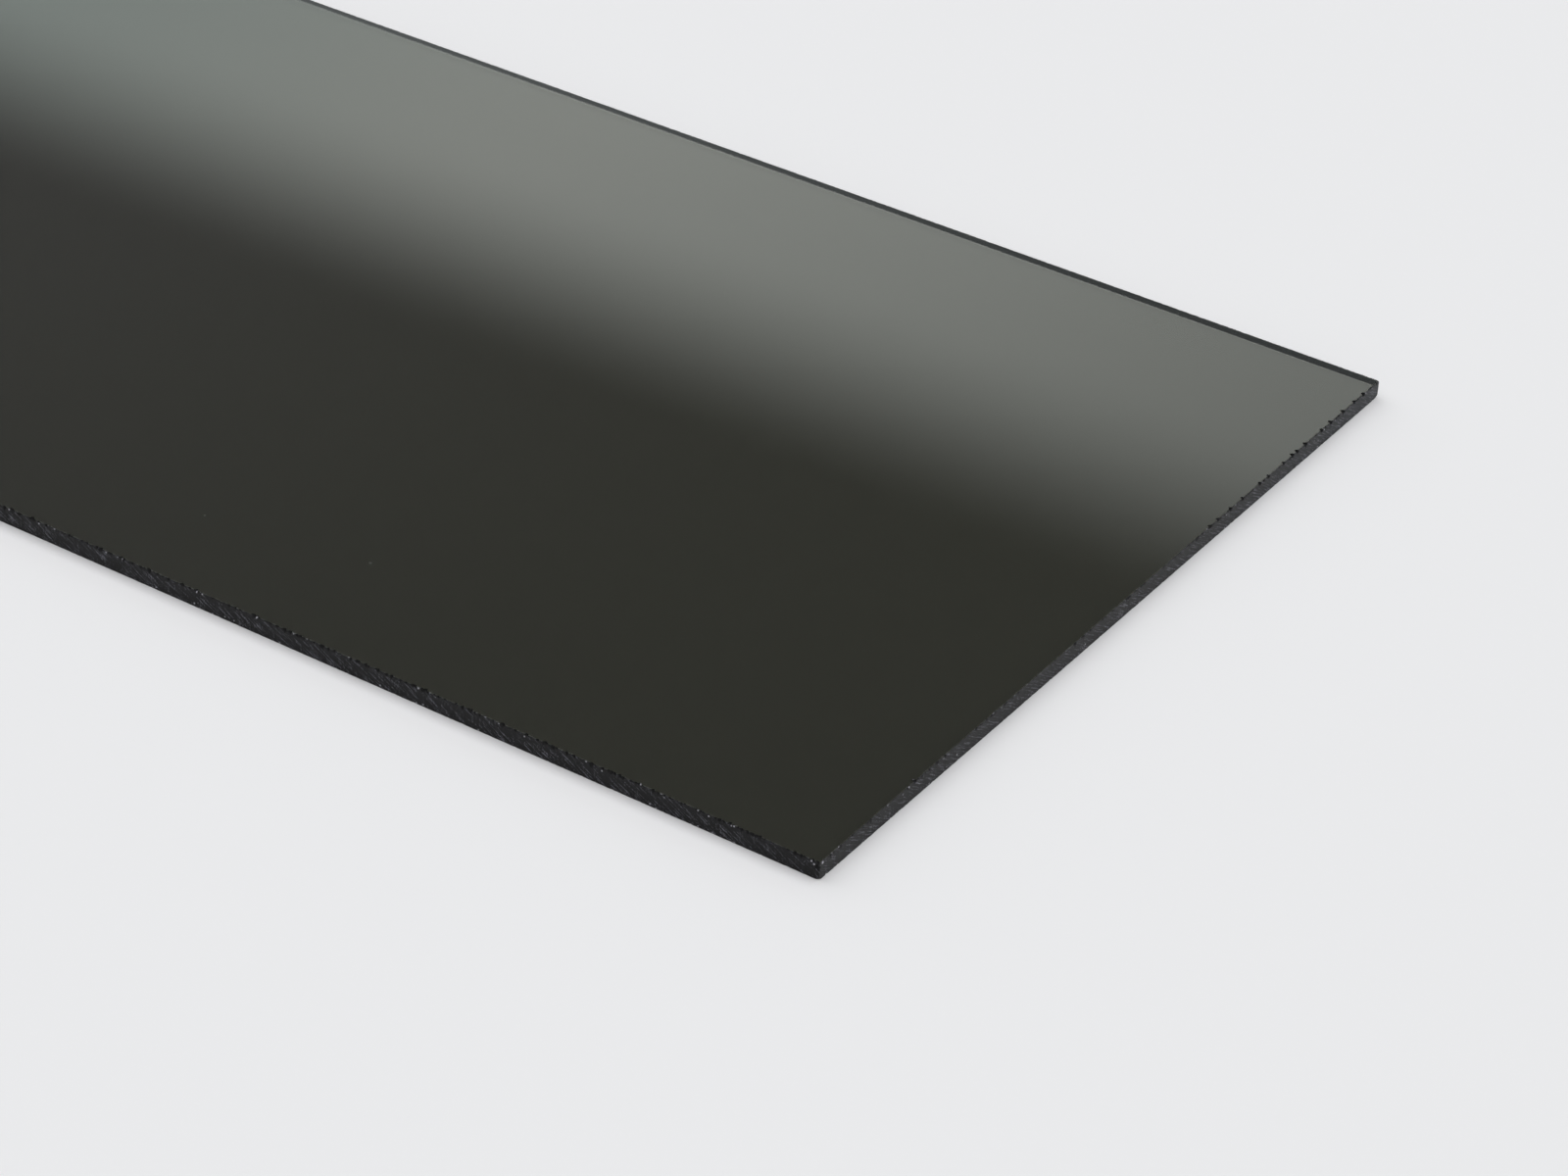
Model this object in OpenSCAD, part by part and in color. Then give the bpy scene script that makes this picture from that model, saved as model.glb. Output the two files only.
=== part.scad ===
// Tinted acrylic sheet, cut to size with a circular saw.
// A flat plate lies on its lower face. The origin is under its middle,
// +X runs along its length and +Z points up out of its upper face.
// Its narrow faces are square saw cuts: handling has dulled the arrises,
// the blade's teeth have pulled small flakes off them, and two corners
// of one end have been knocked.

/* [Sheet] */
// Length of the sheet, along X
sheet_length = 304.8; // [60:0.1:2440]
// Width of the sheet, along Y
sheet_width = 152.4; // [40:0.1:1220]
// Thickness of the sheet, along Z
sheet_thickness = 2.8; // [2:0.1:12]

/* [Sawn edges] */
// Width of the flat that handling has worn on every arris
arris_flat = 0.1; // [0.04:0.02:0.3]
// Length of the smallest flake pulled off an arris
flake_min = 0.3; // [0.2:0.05:0.5]
// Length of the largest flake pulled off an arris
flake_max = 0.8; // [0.5:0.05:1.5]
// Average distance from one flake to the next
flake_pitch = 6; // [3:0.5:40]

/* [Knocked corners] */
// Reach of the chip at the foot of the near corner
near_chip = 0.7; // [0.3:0.1:1.5]
// Reach of the chip at the foot of the far corner
far_chip = 0.5; // [0.3:0.1:1.5]

/* [Hidden] */
// Smoke tint as it looks over a pale table
smoke = "#3b3c3a";
// Clear run at each end of an edge, past the corner chips
flake_margin = 3;
// Golden ratio, whose multiples spread the flakes without a pattern
golden = (1 + sqrt(5)) / 2;
// Radius of a flake's hollow, and how far outside the arris its centre
// lies, both for a flake 1 long
hollow_r = 0.6;
hollow_out = sqrt(hollow_r * hollow_r - 0.25);

// A number from 0 to 1 that looks random but is the same every time
function spread(i, salt) =
    let (turns = (i + 1) * golden + salt * sqrt(2)) turns - floor(turns);

// Rectangle with its four corners cut off at 45 degrees, centred on x
module broken_rectangle(w, h, cut) {
    x = w / 2;
    polygon([
        [-x + cut, 0], [x - cut, 0], [x, cut], [x, h - cut],
        [x - cut, h], [-x + cut, h], [-x, h - cut], [-x, cut]
    ]);
}

// The plate: the length section, the width section and the plan, each
// with broken corners, leave a flat along all twelve arrises
module broken_plate() {
    cut = arris_flat / sqrt(2);
    intersection() {
        rotate([90, 0, 0])
            linear_extrude(sheet_width, center = true)
                broken_rectangle(sheet_length, sheet_thickness, cut);
        rotate([90, 0, 90])
            linear_extrude(sheet_length, center = true)
                broken_rectangle(sheet_width, sheet_thickness, cut);
        linear_extrude(sheet_thickness)
            translate([0, -sheet_width / 2])
                broken_rectangle(sheet_length, sheet_width, cut);
    }
}

// Flakes along one arris that lies on the X axis, with the sheet in the
// quarter y > 0, z < 0
module arris_flakes(run, salt) {
    count = floor((run - 2 * flake_margin) / flake_pitch);
    step = (run - 2 * flake_margin) / max(count, 1);
    for (i = [0:1:count - 1]) {
        len = flake_min + (flake_max - flake_min) * pow(spread(3 * i, salt), 2);
        out = len * hollow_out / sqrt(2);
        along = (i + 0.5 + 0.7 * (spread(i, salt) - 0.5)) * step;
        translate([along + flake_margin - run / 2, -out, out])
            sphere(r = len * hollow_r, $fn = 16);
    }
}

// Flakes round the sheet on one face: k = 1 is the upper, k = -1 the lower
module face_flakes(k) {
    for (side = [0:3]) {
        run = side % 2 == 0 ? sheet_length : sheet_width;
        reach = side % 2 == 0 ? sheet_width : sheet_length;
        rotate(90 * side)
            translate([0, -reach / 2, k > 0 ? sheet_thickness : 0])
                mirror([0, 0, k > 0 ? 0 : 1])
                    arris_flakes(run, side + 4 * (1 - k));
    }
}

// Slanting cut that takes the foot off the end corner on side y, with
// its reach up the corner and along the two lower arrises
module corner_chip(y, reach) {
    big = 4 * reach;
    translate([sheet_length / 2, y * sheet_width / 2, 0])
        rotate([0, 0, 45 * y])
            rotate([0, 45, 0])
                translate([-reach / 2, -big / 2, -big / 2])
                    cube([big, big, big]);
}

module sheet() {
    color(smoke)
    difference() {
        broken_plate();
        face_flakes(1);
        face_flakes(-1);
        corner_chip(-1, near_chip);
        corner_chip(1, far_chip);
    }
}

sheet();
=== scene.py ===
import math
import random

import bmesh
import bpy
from mathutils import Matrix, Vector, noise


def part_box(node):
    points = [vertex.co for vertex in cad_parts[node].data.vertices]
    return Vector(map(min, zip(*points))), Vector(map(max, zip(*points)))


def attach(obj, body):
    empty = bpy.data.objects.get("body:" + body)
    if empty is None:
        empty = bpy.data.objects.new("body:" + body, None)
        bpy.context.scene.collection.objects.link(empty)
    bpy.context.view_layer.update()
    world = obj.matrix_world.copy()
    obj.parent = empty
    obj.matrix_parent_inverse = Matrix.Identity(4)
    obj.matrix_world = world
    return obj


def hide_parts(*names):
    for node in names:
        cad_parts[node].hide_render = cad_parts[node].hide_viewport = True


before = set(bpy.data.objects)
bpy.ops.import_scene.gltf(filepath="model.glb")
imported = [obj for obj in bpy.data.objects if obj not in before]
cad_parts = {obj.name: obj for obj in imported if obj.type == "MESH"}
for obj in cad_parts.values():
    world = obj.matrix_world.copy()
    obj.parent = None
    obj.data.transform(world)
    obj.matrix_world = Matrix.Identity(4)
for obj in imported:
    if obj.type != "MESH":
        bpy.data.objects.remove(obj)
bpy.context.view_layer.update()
mm = 0.001
sheetLow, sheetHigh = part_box("sheet")
thickness = sheetHigh.z - sheetLow.z
print("frame loaded: sheet", [round(side / mm, 2) for side in sheetHigh - sheetLow], "mm")


def linearColour(hexText):
    channels = [int(hexText[i:i + 2], 16) / 255 for i in (1, 3, 5)]
    return (*[c / 12.92 if c <= 0.04045 else ((c + 0.055) / 1.055) ** 2.4 for c in channels], 1.0)


# Adds a node: a socket, or a node's first output, is linked, and any other input is set
def addNode(tree, kind, inputs=None, **settings):
    node = tree.nodes.new(kind)
    for name, value in settings.items():
        setattr(node, name, value)
    for name, value in (inputs or {}).items():
        if isinstance(value, bpy.types.Node):
            value = value.outputs[0]
        if isinstance(value, bpy.types.NodeSocket):
            tree.links.new(value, node.inputs[name])
        else:
            node.inputs[name].default_value = value
    return node


# Sawn edges: real relief on the four narrow walls, numbered anticlockwise from the near long one
sawnEdge = {
    "column": 0.14 * mm,  # distance between columns of points along a wall
    "rowsFromFace": [0.06 * mm, 0.14 * mm, 0.25 * mm, 0.42 * mm, 0.75 * mm],
    "wear": 0.025 * mm,  # depth of the flat that handling leaves on an arris
    "wearChange": 0.03 * mm,
    "markSlopes": [math.radians(a) for a in (30, 33, 30, 33)],  # how the saw marks slope down each wall
    "markWidth": 0.35 * mm,
    "markLength": 6 * mm,
    "markDepth": 0.02 * mm,
    "waveLength": 9 * mm,  # blade wander along the cut
    "waveDepth": 0.02 * mm,
    "fullHollow": 0.1 * mm,  # a flake this deep is wholly fresh inside
    "upperFlakes": [0.9, 0.4, 0.35, 0.9],  # how far the flakes of each wall bite
    "lowerFlakes": [0.25, 0.3, 0.3, 0.3],
    "seed": 11,
    "faceCell": 6 * mm,  # size of the facets that a polished face is cut into, so that none is a sliver
}
# Flakes along each arris: average spacing, and ranges of half length, reach down the wall and bite
flakeKinds = {
    "tooth": {"spacing": 7 * mm, "half": (0.18, 0.36), "reach": (0.25, 0.6), "bite": (0.2, 0.4)},
    "crumb": {"spacing": 0.75 * mm, "half": (0.12, 0.28), "reach": (0.14, 0.4), "bite": (0.08, 0.36)},
}
# Teeth missing from the upper arrises that show: mm along the near wall or the shown end, and bite in mm
shownTeeth = {
    0: [(167.1, 0.3), (170.8, 0.4), (183.7, 0.35), (198.4, 0.3), (211.2, 0.35), (240.9, 0.4), (246.1, 0.25),
        (248.2, 0.25), (260.9, 0.35), (273.1, 0.3), (290.7, 0.3)],
    1: [(22.6, 0.4), (100.9, 0.35), (103.2, 0.33), (106.9, 0.38), (110.4, 0.36), (115.6, 0.35), (118.1, 0.38),
        (122.7, 0.36), (125.4, 0.42), (126.8, 0.4), (129.4, 0.45), (134.4, 0.4), (137.2, 0.44), (141.1, 0.46),
        (144.6, 0.38), (147.5, 0.42)],
}
# Chips knocked off the shown end's corners, in mm: how far from the corner along the long side and the
# end, height, reach; towards -Y or +Y
cornerChips = [
    (0, 0, 0.0, 0.55, -1),
    (0, 0, 1.7, 0.3, -1),
    (0.35, 0, 2.8, 0.5, -1),
    (0.35, 0, 2.1, 0.65, -1),
    (0, 0, 0.0, 0.5, 1),
    (0, 0.1, 2.8, 0.35, 1),
]


# For each wall: how far inside it a point is, and how far along it
def wallPlaces(point):
    right, left = sheetHigh.x - point.x, point.x - sheetLow.x
    far, near = sheetHigh.y - point.y, point.y - sheetLow.y
    return ((near, left), (right, near), (far, right), (left, far))


def makeFlakes(wallLengths):
    rng = random.Random(sawnEdge["seed"])
    flakes = {}
    for wall, run in enumerate(wallLengths):
        for arris in ("lower", "upper"):
            deep = sawnEdge[arris + "Flakes"][wall]
            found = []
            for kind in flakeKinds.values():
                along = rng.uniform(0, kind["spacing"])
                while along < run:
                    size, skew = rng.random() ** 1.5, rng.uniform(0.7, 1.3)
                    half, reach, bite = (mm * (lo + (hi - lo) * size) for lo, hi in
                                         (kind["half"], kind["reach"], kind["bite"]))
                    found.append((along, half, reach * skew, deep * bite / skew))
                    along += kind["spacing"] * rng.uniform(0.4, 1.6)
            if arris == "upper":
                found += [(along * mm, bite * mm * 0.9, bite * mm, bite * mm * 1.3)
                          for along, bite in shownTeeth.get(wall, ())]
            bins = {}
            for flake in found:
                along, half = flake[:2]
                for b in range(int((along - half) / mm), int((along + half) / mm) + 1):
                    bins.setdefault(b, []).append(flake)
            flakes[wall, arris] = bins
    return flakes


def flakeDepth(flakes, wall, along, height):
    arris = "lower" if height < thickness / 2 else "upper"
    fromFace = min(height, thickness - height)
    depth = 0.0
    for centre, half, reach, bite in flakes[wall, arris].get(int(along / mm), ()):
        left = 1 - ((along - centre) / half) ** 2 - (fromFace / reach) ** 2
        if left > 0:
            depth = max(depth, bite * left ** 0.6)
    return depth


def sawnDepth(wall, along, height):
    fromFace = min(height, thickness - height)
    unevenness = noise.noise((along / (1.3 * mm), wall * 9.1, height / mm))
    wear = sawnEdge["wear"] + sawnEdge["wearChange"] * unevenness
    down, across = alongMarks(wall, along, height)
    mark = noise.noise((across / sawnEdge["markWidth"], down / sawnEdge["markLength"], wall * 3.7))
    wave = noise.noise((along / sawnEdge["waveLength"], wall * 5.3, 1.7))
    return (max(0.0, wear - fromFace) + sawnEdge["markDepth"] * (0.5 + mark / 2)
            + sawnEdge["waveDepth"] * (0.5 + wave / 2))


def alongMarks(wall, along, height):
    slope = sawnEdge["markSlopes"][wall]
    return (along * math.cos(slope) - height * math.sin(slope),
            along * math.sin(slope) + height * math.cos(slope))


# Closes a loop with a flat face, cut both ways into cells and then into triangles
def makeFace(bm, loop):
    faces = bmesh.ops.contextual_create(bm, geom=loop)["faces"]
    for axis in (0, 1):
        run = sheetHigh[axis] - sheetLow[axis]
        cells = round(run / sawnEdge["faceCell"])
        for cell in range(1, cells):
            place, normal = Vector(sheetLow), Vector()
            place[axis] += run * cell / cells
            normal[axis] = 1
            parts = {part for face in faces for part in (face, *face.edges, *face.verts)}
            cut = bmesh.ops.bisect_plane(bm, geom=list(parts), dist=sawnEdge["column"] / 2,
                                         plane_co=place, plane_no=normal)
            faces = [part for part in cut["geom"] if isinstance(part, bmesh.types.BMFace)]
    return bmesh.ops.triangulate(bm, faces=faces)["faces"]


# Baking layout: both faces above one another, and under them the walls in strips of half a long side
bakeLayout = {"margin": 0.01, "faceScale": 2.78, "stripStart": 0.884, "stripPitch": 0.0188, "stripScale": 5.9}


def bakePlace(wall, along, height, half):
    strip = (0, 2, 3, 5)[wall] + half
    start = half * (sheetHigh.y - sheetLow.y)
    scale = bakeLayout["stripScale"]
    return (bakeLayout["margin"] + (along - start) * scale,
            bakeLayout["stripStart"] + strip * bakeLayout["stripPitch"] + height * scale)


def makeSheet(polished, sawn):
    bm = bmesh.new()
    corners = [bm.verts.new((x, y, sheetLow.z)) for x, y in (
        (sheetLow.x, sheetLow.y), (sheetHigh.x, sheetLow.y),
        (sheetHigh.x, sheetHigh.y), (sheetLow.x, sheetHigh.y))]
    sides = [bm.edges.new((corners[i], corners[(i + 1) % 4])) for i in range(4)]
    wallLengths = [side.calc_length() for side in sides]
    for side, run in zip(sides, wallLengths):
        bmesh.ops.subdivide_edges(bm, edges=[side], cuts=round(run / sawnEdge["column"]))
    lowerLoop = list(bm.edges)

    nearFace = sawnEdge["rowsFromFace"]
    heights = [0, *nearFace, thickness / 2, *(thickness - rise for rise in reversed(nearFace)), thickness]
    upperLoop = lowerLoop
    for below, above in zip(heights, heights[1:]):
        made = bmesh.ops.extrude_edge_only(bm, edges=upperLoop)["geom"]
        upperLoop = [item for item in made if isinstance(item, bmesh.types.BMEdge)]
        bmesh.ops.translate(bm, verts=[item for item in made if isinstance(item, bmesh.types.BMVert)],
                            vec=(0, 0, above - below))

    runMap = bm.loops.layers.uv.new("sawnRun")
    bakeMap = bm.loops.layers.uv.new("OFBake")
    shortSide = wallLengths[1]
    for face in bm.faces:
        face.material_index = 1
        places = wallPlaces(face.calc_center_median())
        wall = min(range(4), key=lambda index: abs(places[index][0]))
        half = int(places[wall][1] > shortSide)
        for corner in face.loops:
            along = wallPlaces(corner.vert.co)[wall][1]
            height = corner.vert.co.z - sheetLow.z
            corner[runMap].uv = alongMarks(wall, along, height)
            corner[bakeMap].uv = bakePlace(wall, along, height, half)

    flakes = makeFlakes(wallLengths)
    broken = bm.verts.layers.float.new("broken")  # 1 where a flake or chip has left a fresh hollow
    inwards = (Vector((0, 1, 0)), Vector((-1, 0, 0)), Vector((0, -1, 0)), Vector((1, 0, 0)))
    for vert in bm.verts:
        shift = Vector()
        height = vert.co.z - sheetLow.z
        for wall, (inside, along) in enumerate(wallPlaces(vert.co)):
            if abs(inside) < 0.0001 * mm:
                hollow = flakeDepth(flakes, wall, along, height)
                shift += inwards[wall] * max(hollow, sawnDepth(wall, along, height))
                vert[broken] = max(vert[broken], min(1.0, hollow / sawnEdge["fullHollow"]))
        vert.co += shift
    for fromEnd, fromSide, height, reach, side in cornerChips:
        tip = Vector((sheetHigh.x - fromEnd * mm, side * (sheetHigh.y - fromSide * mm),
                      sheetLow.z + height * mm))
        for vert in bm.verts:
            gap = vert.co - tip
            over = reach * mm - abs(gap.x) - abs(gap.y) - 1.4 * abs(gap.z)
            if over > 0:
                vert.co += Vector((-1, -side, 0)) * over / 2
                vert[broken] = max(vert[broken], min(1.0, over / sawnEdge["fullHollow"]))

    for level, loop in enumerate((lowerLoop, upperLoop)):
        scale, margin = bakeLayout["faceScale"], bakeLayout["margin"]
        for face in makeFace(bm, loop):
            face.material_index = 0
            for corner in face.loops:
                corner[bakeMap].uv = (margin + (corner.vert.co.x - sheetLow.x) * scale,
                                      margin + (corner.vert.co.y - sheetLow.y + level * shortSide) * scale
                                      + level * margin)
    bmesh.ops.recalc_face_normals(bm, faces=bm.faces)
    mesh = bpy.data.meshes.new("acrylic_sheet")
    bm.to_mesh(mesh)
    bm.free()
    mesh.materials.append(polished)
    mesh.materials.append(sawn)
    sheet = bpy.data.objects.new("acrylic_sheet", mesh)
    bpy.context.scene.collection.objects.link(sheet)
    print("sheet:", len(mesh.polygons), "faces")
    return sheet


# Smoke tint of the cast acrylic: what a metre of it takes from the light
smokeTint = {
    "colour": "#56583C",
    "density": 560.0,
    "ior": 1.49,
}


# Cast acrylic as it leaves the mould: a dark olive glass, mirror smooth, with a few specks and hairlines
polishedFace = {
    "dust": [(63.3, -56.1, 0.28), (37.1, -60.7, 0.16)],  # specks that show, in mm: x, y, radius
    "dustRoughness": 0.6,
    "hairWidth": 0.12 * mm,
    "hairLength": 30 * mm,
    "hairSlopes": [math.radians(12), math.radians(-50)],
    "hairRoughness": 0.08,
    "hazeReach": 0.6 * mm,  # crushed rim beside the arris
    "hazeGrain": 0.25 * mm,
    "hazeRoughness": 0.45,
}


def polishedAcrylic():
    look = polishedFace
    material = bpy.data.materials.new("cast_acrylic_polished_smoke")
    material.use_nodes = True
    tree = material.node_tree
    tree.nodes.clear()
    place = addNode(tree, "ShaderNodeTexCoord").outputs["Object"]

    roughness = 0.0
    for slope in look["hairSlopes"]:
        turned = addNode(tree, "ShaderNodeMapping", {"Vector": place, "Rotation": (0, 0, slope)})
        stretched = addNode(tree, "ShaderNodeMapping", {
            "Vector": turned, "Scale": (1 / look["hairLength"], 1 / look["hairWidth"], 0)})
        hair = addNode(tree, "ShaderNodeTexNoise", {"Vector": stretched, "Scale": 1.0, "Detail": 1.0})
        hair = addNode(tree, "ShaderNodeMapRange", {
            "Value": hair, "From Min": 0.74, "From Max": 0.8, "To Max": look["hairRoughness"]})
        roughness = addNode(tree, "ShaderNodeMath", {0: hair, 1: roughness}, operation="MAXIMUM")
    for x, y, radius in look["dust"]:
        spot = Vector((x * mm, y * mm, sheetHigh.z))
        gap = addNode(tree, "ShaderNodeVectorMath", {0: place, 1: spot},
                      operation="DISTANCE").outputs["Value"]
        speck = addNode(tree, "ShaderNodeMapRange", {
            "Value": gap, "From Min": radius * mm, "From Max": radius * mm / 2,
            "To Max": look["dustRoughness"]})
        roughness = addNode(tree, "ShaderNodeMath", {0: speck, 1: roughness}, operation="MAXIMUM")

    apart = addNode(tree, "ShaderNodeVectorMath", {0: place}, operation="ABSOLUTE")
    apart = addNode(tree, "ShaderNodeVectorMath", {0: sheetHigh, 1: apart}, operation="SUBTRACT")
    apart = addNode(tree, "ShaderNodeSeparateXYZ", {"Vector": apart}).outputs
    rim = addNode(tree, "ShaderNodeMath", {0: apart["X"], 1: apart["Y"]}, operation="MINIMUM")
    rim = addNode(tree, "ShaderNodeMapRange", {
        "Value": rim, "From Min": look["hazeReach"], "From Max": 0.0, "To Min": -0.5, "To Max": 0.45})
    grain = addNode(tree, "ShaderNodeTexNoise", {
        "Vector": place, "Scale": 1 / look["hazeGrain"], "Detail": 2.0})
    haze = addNode(tree, "ShaderNodeMath", {0: rim, 1: grain}, operation="ADD")
    haze = addNode(tree, "ShaderNodeMapRange", {
        "Value": haze, "From Min": 0.6, "From Max": 0.9, "To Max": look["hazeRoughness"]})
    roughness = addNode(tree, "ShaderNodeMath", {0: haze, 1: roughness}, operation="MAXIMUM")

    surface = addNode(tree, "ShaderNodeBsdfPrincipled", {
        "Base Color": linearColour("#FFFFFF"), "Roughness": roughness,
        "IOR": smokeTint["ior"], "Transmission Weight": 1.0})
    smoke = addNode(tree, "ShaderNodeVolumeAbsorption", {
        "Color": linearColour(smokeTint["colour"]), "Density": smokeTint["density"]})
    addNode(tree, "ShaderNodeOutputMaterial", {"Surface": surface, "Volume": smoke})
    return material


# The same acrylic sawn and left so: a dark frost crossed by pale scores, black in the flakes as the
# fracture's own tone and painted shade, with white specks of crushed acrylic and painted glints, and painted
# paler and cooler towards the lower arris and the far corner as painted light and reflection
sawnFinish = {
    "base": "#020203",
    "score": "#74747F",
    "scoreSets": [(0, 1.0), (math.radians(58), 0.25)],  # turn from the saw marks, share over the set before
    # colour of the hollows: the plain dark frost with no pale scores, partly the fresh fracture's own tone
    # and partly painted shade in the hollow
    "shadedHollow": "#020203",
    # white of the specks: crushed acrylic, and painted glints
    "crushAndGlint": "#B4B4BC",
    "scoreLength": 2.8 * mm,
    "scoreWidth": 0.22 * mm,
    "scored": (0.542, 0.642),  # the noise that turns from plain frost to score
    "paintedLightBelow": 0.015,  # painted light: what the noise gains towards the lower arris, a paler lower wall in place of light thrown up from the table below
    # Painted reflection: towards the far corner of the shown end and its lower arris the wall is painted
    # paler and cooler, in place of cool light reflected up from the table: the way that this grows, and how
    # far from that corner it starts and ends
    "paintedReflectionWay": (2, 1, -10),
    "paintedReflection": (-71 * mm, -11 * mm),
    "paintedReflectionScores": 0.018,
    "paintedReflectionColour": "#081014",
    "patch": 1.4 * mm,  # size of the patches that the scores come in
    "grain": 0.2 * mm,
    "crushGlintCell": 0.9 * mm,
    "crushGlintSize": 0.16 * mm,
    "crushGlintShare": (0.05, 0.4),  # share of cells with a white speck, crushed acrylic and painted glint: in mid wall, beside an arris
    "crushGlintReach": 0.6 * mm,
    "crushGlintPlaces": [  # white specks that show, crushed acrylic and painted glints, in mm: x, y, z, radius
        (152.4, -75.5, 2.5, 0.26), (151.5, -76.2, 2.2, 0.2), (139.0, -76.2, 2.7, 0.2),
        (133.3, -76.2, 2.7, 0.16), (117.9, -76.2, 2.3, 0.16), (105.2, -76.2, 2.4, 0.16),
        (87.4, -76.2, 2.7, 0.22), (65.9, -76.2, 2.7, 0.16), (35.1, -76.2, 2.7, 0.25),
        (22.7, -76.2, 2.7, 0.16), (14.2, -76.2, 2.7, 0.22), (125.7, -76.2, 0.4, 0.16),
        (49.7, -76.2, 2.6, 0.18), (48.2, -76.2, 0.5, 0.18), (55.3, -76.2, 0.5, 0.14)],
    "roughness": (0.3, 0.5),
    "freshRoughness": 0.6,
    "bumpHeight": 0.03 * mm,
    "bumpStrength": 1.0,
    "specular": 0.13,
    "clear": 0.3,
}


def sawnAcrylic():
    look = sawnFinish
    material = bpy.data.materials.new("cast_acrylic_sawn_smoke")
    material.use_nodes = True
    tree = material.node_tree
    tree.nodes.clear()
    run = addNode(tree, "ShaderNodeUVMap", uv_map="sawnRun")
    scores = 0.0
    for turn, share in look["scoreSets"]:
        turned = addNode(tree, "ShaderNodeMapping", {"Vector": run, "Rotation": (0, 0, turn)})
        stretched = addNode(tree, "ShaderNodeMapping", {
            "Vector": turned, "Scale": (1 / look["scoreLength"], 1 / look["scoreWidth"], 1)})
        lines = addNode(tree, "ShaderNodeTexNoise", {"Vector": stretched, "Scale": 1.0, "Detail": 2.0})
        scores = addNode(tree, "ShaderNodeMix", {0: share, 2: scores, 3: lines})
    patches = addNode(tree, "ShaderNodeTexNoise", {"Vector": run, "Scale": 1 / look["patch"], "Detail": 3.0})
    grain = addNode(tree, "ShaderNodeTexNoise", {"Vector": run, "Scale": 1 / look["grain"], "Detail": 2.0})
    marks = addNode(tree, "ShaderNodeMix", {0: 0.35, 2: scores, 3: grain})
    tone = addNode(tree, "ShaderNodeMix", {0: 0.1, 2: marks, 3: patches})
    place = addNode(tree, "ShaderNodeTexCoord").outputs["Object"]
    height = addNode(tree, "ShaderNodeSeparateXYZ", {"Vector": place}).outputs["Z"]
    # Painted light: the wall turns paler towards the lower arris, in place of light thrown up from the table
    # below
    below = addNode(tree, "ShaderNodeMapRange", {
        "Value": height, "From Min": sheetHigh.z, "From Max": sheetLow.z, "To Max": look["paintedLightBelow"]})
    tone = addNode(tree, "ShaderNodeMath", {0: tone, 1: below}, operation="ADD")
    # Painted reflection: more pale scores and a cool tint towards the far corner of the shown end and its
    # lower arris
    fromCorner = Vector((sheetHigh.x, sheetHigh.y, sheetLow.z))
    fromCorner = addNode(tree, "ShaderNodeVectorMath", {0: place, 1: fromCorner}, operation="SUBTRACT")
    paintedReflection = addNode(tree, "ShaderNodeVectorMath", {
        0: fromCorner, 1: look["paintedReflectionWay"]}, operation="DOT_PRODUCT")
    paintedReflection = addNode(tree, "ShaderNodeMapRange", {
        "Value": paintedReflection.outputs["Value"], "From Min": look["paintedReflection"][0], "From Max": look["paintedReflection"][1]})
    tone = addNode(tree, "ShaderNodeMath", {
        0: paintedReflection, 1: look["paintedReflectionScores"], 2: tone}, operation="MULTIPLY_ADD")
    scored = addNode(tree, "ShaderNodeMapRange", {
        "Value": tone, "From Min": look["scored"][0], "From Max": look["scored"][1]})
    colour = addNode(tree, "ShaderNodeMix", {
        0: scored, 6: linearColour(look["base"]), 7: linearColour(look["score"])},
                     data_type="RGBA").outputs[2]
    colour = addNode(tree, "ShaderNodeMix", {
        0: paintedReflection, 6: colour, 7: linearColour(look["paintedReflectionColour"])},
                     data_type="RGBA", blend_type="ADD").outputs[2]

    # Painted shade: the hollows left by flakes and chips lose the pale scores and go black, partly the fresh
    # fracture's own dark and partly shade in the hollow
    shadedHollow = addNode(tree, "ShaderNodeAttribute", attribute_name="broken").outputs["Fac"]
    colour = addNode(tree, "ShaderNodeMix", {
        0: shadedHollow, 6: colour, 7: linearColour(look["shadedHollow"])}, data_type="RGBA").outputs[2]
    # White specks: crushed acrylic, and painted glints along the arrises and at the listed places
    cells = addNode(tree, "ShaderNodeTexVoronoi", {"Vector": run, "Scale": 1 / look["crushGlintCell"]},
                    voronoi_dimensions="2D").outputs
    size = look["crushGlintSize"] / look["crushGlintCell"]
    spot = addNode(tree, "ShaderNodeMapRange", {
        "Value": cells["Distance"], "From Min": size, "From Max": size / 2})
    middle = (sheetLow.z + sheetHigh.z) / 2
    height = addNode(tree, "ShaderNodeMath", {0: height, 1: middle}, operation="SUBTRACT")
    height = addNode(tree, "ShaderNodeMath", {0: height}, operation="ABSOLUTE")
    share = addNode(tree, "ShaderNodeMapRange", {
        "Value": height, "From Min": thickness / 2 - look["crushGlintReach"], "From Max": thickness / 2,
        "To Min": look["crushGlintShare"][0], "To Max": look["crushGlintShare"][1]})
    chosen = addNode(tree, "ShaderNodeMath", {0: cells["Color"], 1: share}, operation="LESS_THAN")
    crushGlint = addNode(tree, "ShaderNodeMath", {0: spot, 1: chosen}, operation="MULTIPLY")
    for x, y, z, radius in look["crushGlintPlaces"]:
        middle = Vector((x * mm, y * mm, z * mm))
        gap = addNode(tree, "ShaderNodeVectorMath", {0: place, 1: middle},
                      operation="DISTANCE").outputs["Value"]
        speck = addNode(tree, "ShaderNodeMapRange", {
            "Value": gap, "From Min": radius * mm, "From Max": radius * mm / 2})
        crushGlint = addNode(tree, "ShaderNodeMath", {0: speck, 1: crushGlint}, operation="MAXIMUM")
    colour = addNode(tree, "ShaderNodeMix", {
        0: crushGlint, 6: colour, 7: linearColour(look["crushAndGlint"])}, data_type="RGBA").outputs[2]

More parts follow.
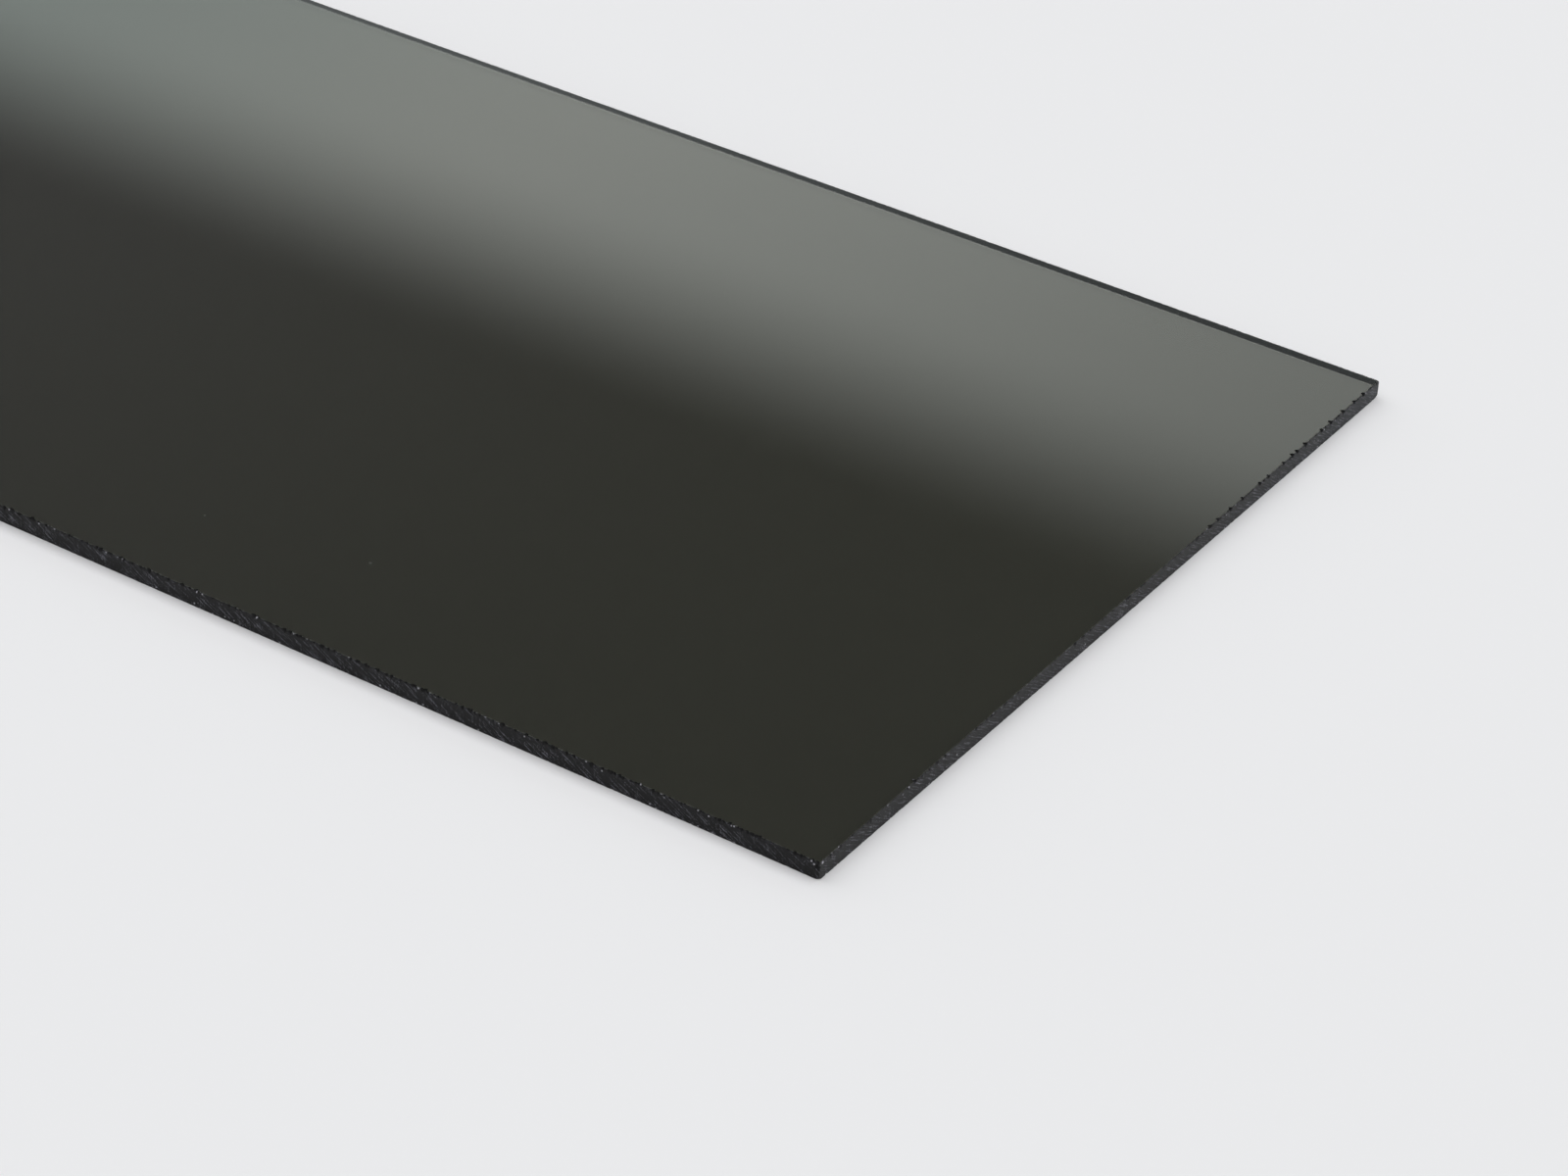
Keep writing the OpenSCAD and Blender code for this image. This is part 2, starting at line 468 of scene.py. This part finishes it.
    low, high = look["roughness"]
    roughness = addNode(tree, "ShaderNodeMapRange", {"Value": patches, "To Min": low, "To Max": high})
    roughness = addNode(tree, "ShaderNodeMix", {0: shadedHollow, 2: roughness, 3: look["freshRoughness"]})
    relief = addNode(tree, "ShaderNodeBump", {
        "Height": marks, "Distance": look["bumpHeight"], "Strength": look["bumpStrength"]})
    surface = addNode(tree, "ShaderNodeBsdfPrincipled", {
        "Base Color": colour, "Roughness": roughness, "Normal": relief, "IOR": smokeTint["ior"],
        "Specular IOR Level": look["specular"], "Transmission Weight": look["clear"]})
    smoke = addNode(tree, "ShaderNodeVolumeAbsorption", {
        "Color": linearColour(smokeTint["colour"]), "Density": smokeTint["density"]})
    addNode(tree, "ShaderNodeOutputMaterial", {"Surface": surface, "Volume": smoke})
    return material


# Studio: patches of soft light, placed by the slopes away / up and sideways / up of the way to them
studio = {
    "table": "#EBEBED",
    "sink": 0.03 * mm,  # the table lies this far under the sheet
    "horizon": 0.75,
    "horizonRise": (0.3, 0.12),
    # In order away from the eye, each over the one before: the slopes between which it comes in, how far
    # that line leans out of square, and colour and level at stops across
    "patches": {
        "near wall": {"comesIn": (-1002, -1001), "lean": 0,
                      "stops": [(-1, "#FFFFFF", 0.1), (1, "#FFFFFF", 0.55)]},
        "overhead": {"comesIn": (-0.8, -0.6), "lean": 0,
                     "stops": [(-0.6, "#FFFFFF", 1.14), (0.6, "#FFFFFF", 1.55)]},
        "dark gap": {"comesIn": (0.75, 0.95), "lean": 0,
                     "stops": [(-1.35, "#FFFFFD", 0.29), (-0.75, "#FDFFEA", 0.225)]},
        "strip card": {"comesIn": (1.37, 1.52), "lean": -0.02,
                       "stops": [(-1.5, "#F0FFF9", 1.66), (-1.1, "#FAFFF8", 2.04), (-0.1, "#FAFFF8", 0.58)]},
        "backdrop": {"comesIn": (1.5634, 1.5638), "lean": 0.0026,
                     "stops": [(-1.3, "#F6FFFF", 0.8), (-0.75, "#F6FFFF", 0.42)]},
    },
}


def makeStudio():
    world = bpy.data.worlds.new("studio")
    bpy.context.scene.world = world
    world.use_nodes = True
    tree = world.node_tree
    tree.nodes.clear()
    way = addNode(tree, "ShaderNodeSeparateXYZ", {
        "Vector": addNode(tree, "ShaderNodeTexCoord").outputs["Generated"]}).outputs
    rise = addNode(tree, "ShaderNodeMath", {0: way["Z"], 1: 0.001}, operation="MAXIMUM")
    away = addNode(tree, "ShaderNodeMath", {0: way["Y"], 1: rise}, operation="DIVIDE")
    sideways = addNode(tree, "ShaderNodeMath", {0: way["X"], 1: rise}, operation="DIVIDE")
    light = addNode(tree, "ShaderNodeBackground", {"Strength": 0.0})
    for patch in studio["patches"].values():
        line = addNode(tree, "ShaderNodeMath", {
            0: sideways, 1: patch["lean"], 2: away}, operation="MULTIPLY_ADD")
        start, end = patch["comesIn"]
        share = addNode(tree, "ShaderNodeMapRange", {
            "Value": line, "From Min": start, "From Max": end}, interpolation_type="SMOOTHSTEP")
        before, hexText, level = patch["stops"][0]
        colour = linearColour(hexText)
        for stop, hexText, stopLevel in patch["stops"][1:]:
            turn = addNode(tree, "ShaderNodeMapRange", {
                "Value": sideways, "From Min": before, "From Max": stop}, interpolation_type="SMOOTHSTEP")
            colour = addNode(tree, "ShaderNodeMix", {
                0: turn, 6: colour, 7: linearColour(hexText)}, data_type="RGBA").outputs[2]
            level = addNode(tree, "ShaderNodeMix", {0: turn, 2: level, 3: stopLevel})
            before = stop
        glow = addNode(tree, "ShaderNodeBackground", {"Color": colour, "Strength": level})
        light = addNode(tree, "ShaderNodeMixShader", {0: share, 1: light, 2: glow})
    high, low = studio["horizonRise"]
    horizon = addNode(tree, "ShaderNodeMapRange", {
        "Value": way["Z"], "From Min": high, "From Max": low, "To Max": studio["horizon"]})
    horizon = addNode(tree, "ShaderNodeBackground", {"Strength": horizon})
    light = addNode(tree, "ShaderNodeAddShader", {0: light, 1: horizon})
    addNode(tree, "ShaderNodeOutputWorld", {"Surface": light})

    bm = bmesh.new()
    bmesh.ops.create_circle(bm, cap_ends=True, segments=96, radius=6.0)
    bmesh.ops.translate(bm, verts=bm.verts, vec=(0, 0, sheetLow.z - studio["sink"]))
    mesh = bpy.data.meshes.new("table_top")
    bm.to_mesh(mesh)
    bm.free()
    table = bpy.data.objects.new("table_top", mesh)
    bpy.context.scene.collection.objects.link(table)
    paper = bpy.data.materials.new("matt_white_paper")
    paper.use_nodes = True
    surface = paper.node_tree.nodes["Principled BSDF"]
    surface.inputs["Base Color"].default_value = linearColour(studio["table"])
    surface.inputs["Roughness"].default_value = 0.9
    surface.inputs["Specular IOR Level"].default_value = 0.0
    mesh.materials.append(paper)
    print("studio ready")


# Camera: the photograph's own view of the sheet
cameraView = {
    "lens": 105.3,  # millimetres on a frame 36 wide
    "rise": math.radians(33.34),  # how far it looks down
    "turn": math.radians(32.66),  # how far it stands round from -Y towards +X
    "roll": math.radians(2.7),
    "place": (0.4013, -0.4761, 0.3545),
}


def makeCamera():
    rise, turn = cameraView["rise"], cameraView["turn"]
    back = Vector((math.sin(turn) * math.cos(rise), -math.cos(turn) * math.cos(rise), math.sin(rise)))
    right = Matrix.Rotation(cameraView["roll"], 3, back) @ Vector((math.cos(turn), math.sin(turn), 0))
    up = back.cross(right)
    data = bpy.data.cameras.new("camera")
    data.lens = cameraView["lens"]
    data.sensor_width = 36
    data.clip_start = 0.01
    camera = bpy.data.objects.new("camera", data)
    bpy.context.scene.collection.objects.link(camera)
    turned = Matrix((right, up, back)).transposed().to_4x4()
    camera.matrix_world = Matrix.Translation(cameraView["place"]) @ turned
    bpy.context.scene.camera = camera


bpy.context.scene.view_settings.view_transform = "Standard"
makeCamera()
makeStudio()
sheetPiece = makeSheet(polishedAcrylic(), sawnAcrylic())
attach(sheetPiece, "root")
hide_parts("sheet")
